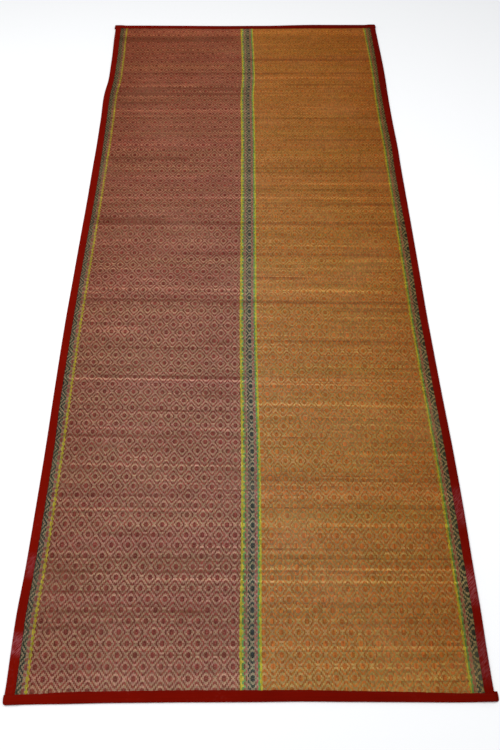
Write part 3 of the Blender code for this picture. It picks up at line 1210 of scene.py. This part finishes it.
class MAT_OT_warp_yarns(bpy.types.Operator):
    """Weave the coloured warp yarns over the stems, one piece for each colour"""

    bl_idname = "mat.warp_yarns"
    bl_label = "Weave Warp Yarns"

    def execute(self, context):
        weave = context.scene.mat_weave
        tree = floats_tree()
        for number, (yarn, dye) in enumerate(YARN_COLOURS.items()):
            places, steps, rooms = ends_of(yarn)
            mesh = bpy.data.meshes.new(f"{yarn}_ends")
            mesh.from_pydata([(x, 0, 0) for x in places], [], [])
            add_numbers(mesh, "step", steps)
            add_numbers(mesh, "room", rooms)
            values = {
                "First Pick": FIRST_FLOAT_PICK,
                "Picks": LAST_FLOAT_PICK - FIRST_FLOAT_PICK,
                "Pick Pitch": PICK_PITCH,
                "Half Repeat": HALF_ROW,
                "Yarn Cover": weave.yarn_cover * dye.fullness,
                "Float Cover": weave.float_cover + dye.reach,
                "Centre Cover": weave.centre_cover,
                "Short Width": weave.short_width,
                "Long Width": weave.long_width,
                "Turning Width": weave.turning_width,
                "Turning Cover": weave.turning_cover,
                "Yarn Rise": weave.yarn_rise,
                "Seat Height": weave.seat_height,
                "Ridge Share": weave.ridge_share,
                "Unevenness": weave.unevenness,
                "Long Depth": dye.long_depth,
                "Seed": number + 1,
                "Material": yarn_material(yarn, dye),
            }
            piece = run_geometry_tree(tree, link(f"{yarn}_ends", mesh), values, f"{yarn}_yarn")
            settle_yarn(piece, weave)
            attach(piece, "root")
        return {"FINISHED"}


def ends_of(yarn):
    """Each end of one colour that shows: where it lies, its place in the draft, and its room."""
    places, steps, rooms = [], [], []
    for stripe in STRIPES:
        if stripe.yarn != yarn:
            continue
        for number in range(stripe.ends):
            across = (stripe.start + number * stripe.pitch) * MM
            if HIDDEN_EDGE < across < MAT_WIDTH - HIDDEN_EDGE:
                places.append(across - MAT_WIDTH / 2)
                steps.append(stripe.step + number)
                rooms.append(stripe.pitch * MM)
    return places, steps, rooms


def settle_yarn(piece, weave):
    """Maps a yarn piece flat, and lays it into the mat's outline."""
    mesh = piece.data
    points = mesh_points(mesh)
    low, high = points.min(axis=0), points.max(axis=0)
    place = (points[corner_vertices(mesh)] - low) / (high - low)
    add_map(mesh, place[:, :2])
    add_numbers(mesh, "streak", streaks_at(points))
    middle = (FIRST_PICK + LAST_PICK) / 2 * PICK_PITCH
    points[:, 0] += weave.lean * (points[:, 1] - middle) / MAT_LENGTH
    move_points(mesh, laid(points))


def stations(start, end, step):
    """Places along a tape: close together near its ends, and evenly spaced between them."""
    ends = np.array([0.0, 0.4, 1.0, 1.8, 2.8, 4.0, 5.2, 6.4, 7.6, 9.0, 11.0, 13.0]) * MM
    inner = np.arange(start + ends[-1] + step, end - ends[-1] - step / 2, step)
    return np.concatenate([start + ends, inner, end - ends[::-1]])


def wave(places, *parts):
    """A sum of sines along a tape, each given as its height, its wavelength and its shift."""
    return sum(height * np.sin(2 * pi * places / length + shift) for height, length, shift in parts)


def tape_sections(run, edge, inward, width, lower_width, base, top, settings, seed):
    """The tape's outer face as rows of points along it, each row as its places across and its heights.

    The rows go from the lower leaf's inner edge, round the fold, to the upper leaf's inner edge.
    """
    radius = (top - base) / 2
    pull = wave(run, (0.5, 0.0107, seed), (0.5, 0.0171, 2.1 * seed), (0.4, 0.043, 0.7 * seed))
    flat_run = width + settings.pucker * pull - radius
    lift = 1 + 0.35 * wave(run, (1.0, 0.061, 1.3 * seed), (0.7, 0.027, 0.4 * seed))
    rows = []
    for share in (1.0, 0.5):
        rows.append((edge + inward * lower_width * share, base + 0 * edge))
    for angle in np.linspace(0, pi, 11):
        rows.append((edge + inward * radius * (1 - np.sin(angle)), base + radius * (1 - np.cos(angle))))
    for leaf in LEAF_ROWS:
        puff = settings.crown * np.sin(pi * min(leaf.share / PUFF_SHARE, 1.0)) * lift
        rows.append((edge + inward * (radius + flat_run * leaf.share), top + puff + leaf.rise))
    return rows


def face_upwards(mesh):
    """Turns all of a tape's faces over if those of its upper leaf look down."""
    shape = bmesh.new()
    shape.from_mesh(mesh)
    upper = [face for face in shape.faces if face.calc_center_median().z > TAPE_THICKNESS * 2]
    if sum(face.normal.z for face in upper) < 0:
        bmesh.ops.reverse_faces(shape, faces=shape.faces[:])
    shape.to_mesh(mesh)
    shape.free()


def tape_mesh(name, rows, run, runs_across, material):
    """A folded tape as cloth of real thickness, from its outer face's rows of points."""
    inwards = np.array([row[0] for row in rows])
    height = np.array([row[1] for row in rows])
    lengthwise = np.broadcast_to(run, inwards.shape)
    if runs_across:
        points = np.stack([lengthwise, inwards, height], axis=-1)
    else:
        points = np.stack([inwards, lengthwise, height], axis=-1)
    count, long = inwards.shape
    faces = []
    for i in range(count - 1):
        for j in range(long - 1):
            first = i * long + j
            faces.append((first, first + 1, first + long + 1, first + long))
    mesh = bpy.data.meshes.new(name)
    mesh.from_pydata(points.reshape(-1, 3).tolist(), [], faces)
    face_upwards(mesh)

    steps = np.linalg.norm(np.diff(points, axis=0), axis=-1)
    cloth = np.vstack([np.zeros((1, long)), np.cumsum(steps, axis=0)])
    cloth_place = mesh.attributes.new("cloth", "FLOAT_VECTOR", "POINT")
    values = np.stack([cloth, lengthwise, 0 * cloth], axis=-1)
    cloth_place.data.foreach_set("vector", values.astype(np.float32).ravel())
    u = cloth / cloth.max()
    v = (lengthwise - run.min()) / np.ptp(run)
    add_map(mesh, np.column_stack([u.ravel(), v.ravel()])[corner_vertices(mesh)])
    add_numbers(mesh, "scuff", np.broadcast_to(scuff_and_sheen_at(name, run), cloth.shape).ravel())
    mesh.materials.append(material)
    mesh.shade_smooth()
    source = link(name + "_face", mesh)
    thicken = source.modifiers.new("cloth", "SOLIDIFY")
    thicken.thickness = TAPE_THICKNESS
    thicken.offset = -1
    thicken.use_even_offset = True
    return baked_down(source, name)


def scuff_and_sheen_at(name, run):
    """How much scuffing and painted sheen each station of a tape has, from 0 to 1."""
    wear = np.zeros(len(run))
    for scuff in SCUFFS_AND_SHEEN:
        if scuff.tape in name:
            near = 1 - np.abs(run - scuff.middle * MM) / (scuff.half_length * MM)
            wear = np.maximum(wear, scuff.wear * eased(near * 1.5))
    return wear


def corner_inset(distance):
    """How far a rounded corner draws the edge in, at a distance from the tape's end."""
    short = np.maximum(CORNER_ROUNDING - distance, 0)
    return CORNER_ROUNDING - np.sqrt(CORNER_ROUNDING**2 - short**2)


def side_tape(name, edge, column, inward, settings, material, seed):
    """A tape along one long edge. Its ends lie between the leaves of the end tapes."""
    middle = float(edge(0.0))
    start = float(near_edge(middle)) + SIDE_TAPE_INSET
    end = float(far_edge(middle)) - SIDE_TAPE_INSET
    run = stations(start, end, settings.station_step)
    base = LAYER * over_end_tape(middle + 0 * run, run)
    width = along(SIDE_ROWS, column, run)
    lower_width = UNDER_TAPE_WIDTH + 0 * run
    top = base + SIDE_STACK
    rows = tape_sections(run, edge(run), inward, width, lower_width, base, top, settings, seed)
    return tape_mesh(name, rows, run, False, material)


def end_tape(name, edge, column, inward, ends, settings, material, seed):
    """A tape along one end of the mat, over the ends of both side tapes."""
    run = stations(*ends, settings.station_step)
    inset = corner_inset(np.minimum(run - ends[0], ends[1] - run))
    place = edge(run) + inward * inset
    width = along(END_ROWS, column, run) - inset
    lower_width = UNDER_TAPE_WIDTH - inset
    outside = np.maximum(np.maximum(left_edge(place) - run, run - right_edge(place)), 0)
    full = SIDE_STACK + 2 * LAYER * over_side_tape(run, place)
    top = full - (full - PINCHED_HEIGHT) * eased((outside - PINCH_START) / PINCH_RUN)
    rows = tape_sections(run, place, inward, width, lower_width, 0 * run, top, settings, seed)
    return tape_mesh(name, rows, run, True, material)


class MAT_OT_tape_bindings(bpy.types.Operator):
    """Fold the red tape over the two long edges, then over the two ends"""

    bl_idname = "mat.tape_bindings"
    bl_label = "Fold Tape Bindings"

    def execute(self, context):
        settings = context.scene.mat_binding
        red = tape_material()
        made = [
            side_tape("binding_left_cloth", left_edge, "left_tape", 1, settings, red, 1.0),
            side_tape("binding_right_cloth", right_edge, "right_tape", -1, settings, red, 2.0),
            end_tape("binding_near_cloth", near_edge, "near_tape", 1, NEAR_TAPE_ENDS, settings, red, 3.0),
            end_tape("binding_far_cloth", far_edge, "far_tape", -1, FAR_TAPE_ENDS, settings, red, 4.0),
        ]
        for piece in made:
            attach(piece, "root")
            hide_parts(piece.name.removesuffix("_cloth"))
        return {"FINISHED"}


class MAT_OT_seam_stitches(bpy.types.Operator):
    """Sew the tapes down with a row of stitches near their inner edges"""

    bl_idname = "mat.seam_stitches"
    bl_label = "Sew Seams"

    def execute(self, context):
        settings = context.scene.mat_binding
        inset = settings.seam_inset
        lines = []
        y = np.arange(*SIDE_SEAM_ENDS, SEAM_STEP)
        left = left_edge(y) + along(SIDE_ROWS, "left_tape", y) - inset
        right = right_edge(y) - along(SIDE_ROWS, "right_tape", y) + inset
        for x in (left, right):
            lines.append(np.column_stack([x, y, SIDE_STACK + LAYER * over_end_tape(x, y)]))
        x = np.arange(*END_SEAM_ENDS, SEAM_STEP)
        near = near_edge(x) + along(END_ROWS, "near_tape", x) - inset
        far = far_edge(x) - along(END_ROWS, "far_tape", x) + inset
        for y in (near, far):
            lines.append(np.column_stack([x, y, SIDE_STACK + 2 * LAYER * over_side_tape(x, y)]))
        points, edges = [], []
        for line in lines:
            first = len(points)
            points += line.tolist()
            edges += [(first + k, first + k + 1) for k in range(len(line) - 1)]
        mesh = bpy.data.meshes.new("seams")
        mesh.from_pydata(points, edges, [])
        values = {
            "Stitch Length": settings.stitch_length,
            "Stitch Spacing": settings.stitch_spacing,
            "Thread Radius": settings.thread_radius,
            "Material": thread_material(),
        }
        piece = run_geometry_tree(stitches_tree(), link("seams", mesh), values, "seam_stitches")
        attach(piece, "root")
        return {"FINISHED"}


class MAT_OT_declare_cloth(bpy.types.Operator):
    bl_idname = "mat.declare_cloth"
    bl_label = "Declare Cloth"

    def execute(self, context):
        return {"FINISHED"}


# The soft lamps: where each stands, how wide it is, and its share of the key power
Lamp = namedtuple("Lamp", "name place size share")
LAMPS = [
    Lamp("key", (-0.9, -0.2, 2.0), 1.4, 1.0),
    Lamp("fill", (1.1, -0.1, 2.0), 1.4, 0.35),
]


class MAT_OT_stage(bpy.types.Operator):
    """Set the plain floor, the soft lights and the camera"""

    bl_idname = "mat.stage"
    bl_label = "Set Stage"

    def execute(self, context):
        scene = context.scene
        stage = scene.mat_stage
        lay_floor(stage.floor_colour)
        world = bpy.data.worlds.new("daylight")
        world.use_nodes = True
        sky = world.node_tree.nodes["Background"]
        sky.inputs["Color"].default_value = (0.95, 0.97, 1.0, 1)
        sky.inputs["Strength"].default_value = stage.daylight
        scene.world = world
        for lamp in LAMPS:
            light = bpy.data.lights.new(lamp.name, "AREA")
            light.size = lamp.size
            light.energy = stage.key_power * lamp.share
            lamp_object = link(lamp.name, light)
            lamp_object.location = lamp.place
            lamp_object.rotation_euler = (-Vector(lamp.place)).to_track_quat("-Z", "Y").to_euler()
        camera = bpy.data.cameras.new("camera")
        camera.lens = stage.camera_lens
        camera.sensor_width = 36
        camera.clip_start = 0.01
        camera_object = link("camera", camera)
        camera_object.location = stage.camera_place
        camera_object.rotation_euler = Euler(stage.camera_turn)
        scene.camera = camera_object
        scene.view_settings.view_transform = "Standard"
        scene.cycles.denoising_prefilter = "NONE"
        return {"FINISHED"}


def lay_floor(floor_colour):
    """Lays the plain floor just under the mat."""
    far = 6.0
    level = -0.0002
    corners = [(-far, -far, level), (far, -far, level), (far, far, level), (-far, far, level)]
    mesh = bpy.data.meshes.new("floor")
    mesh.from_pydata(corners, [], [(0, 1, 2, 3)])
    paint, unused, shader = surface("floor_paint", 0.9, 0.1)
    shader.inputs["Base Color"].default_value = (*floor_colour, 1)
    mesh.materials.append(paint)
    floor = link("floor", mesh)


STEPS = (
    MAT_OT_grass_ground,
    MAT_OT_warp_yarns,
    MAT_OT_tape_bindings,
    MAT_OT_seam_stitches,
    MAT_OT_declare_cloth,
    MAT_OT_stage,
)


class MAT_PT_panel(bpy.types.Panel):
    """The mat's steps and settings in the 3D view's sidebar"""

    bl_idname = "MAT_PT_panel"
    bl_label = "Grass Mat"
    bl_space_type = "VIEW_3D"
    bl_region_type = "UI"
    bl_category = "Grass Mat"

    def draw(self, context):
        layout = self.layout
        for name, group in SETTINGS.items():
            settings = getattr(context.scene, name)
            box = layout.box()
            box.label(text=group.__doc__)
            for key in settings.bl_rna.properties.keys():
                if key not in {"rna_type", "name"}:
                    box.prop(settings, key)
        for step in STEPS:
            layout.operator(step.bl_idname)


def register():
    for group in SETTINGS.values():
        bpy.utils.register_class(group)
    for name, group in SETTINGS.items():
        setattr(bpy.types.Scene, name, PointerProperty(type=group))
    for step in STEPS:
        bpy.utils.register_class(step)
    bpy.utils.register_class(MAT_PT_panel)


def unregister():
    bpy.utils.unregister_class(MAT_PT_panel)
    for step in reversed(STEPS):
        bpy.utils.unregister_class(step)
    for name in SETTINGS:
        delattr(bpy.types.Scene, name)
    for group in reversed(SETTINGS.values()):
        bpy.utils.unregister_class(group)


def main():
    register()
    bpy.ops.mat.grass_ground()
    bpy.ops.mat.warp_yarns()
    bpy.ops.mat.tape_bindings()
    bpy.ops.mat.seam_stitches()
    bpy.ops.mat.declare_cloth()
    bpy.ops.mat.stage()


if __name__ == "__main__":
    main()
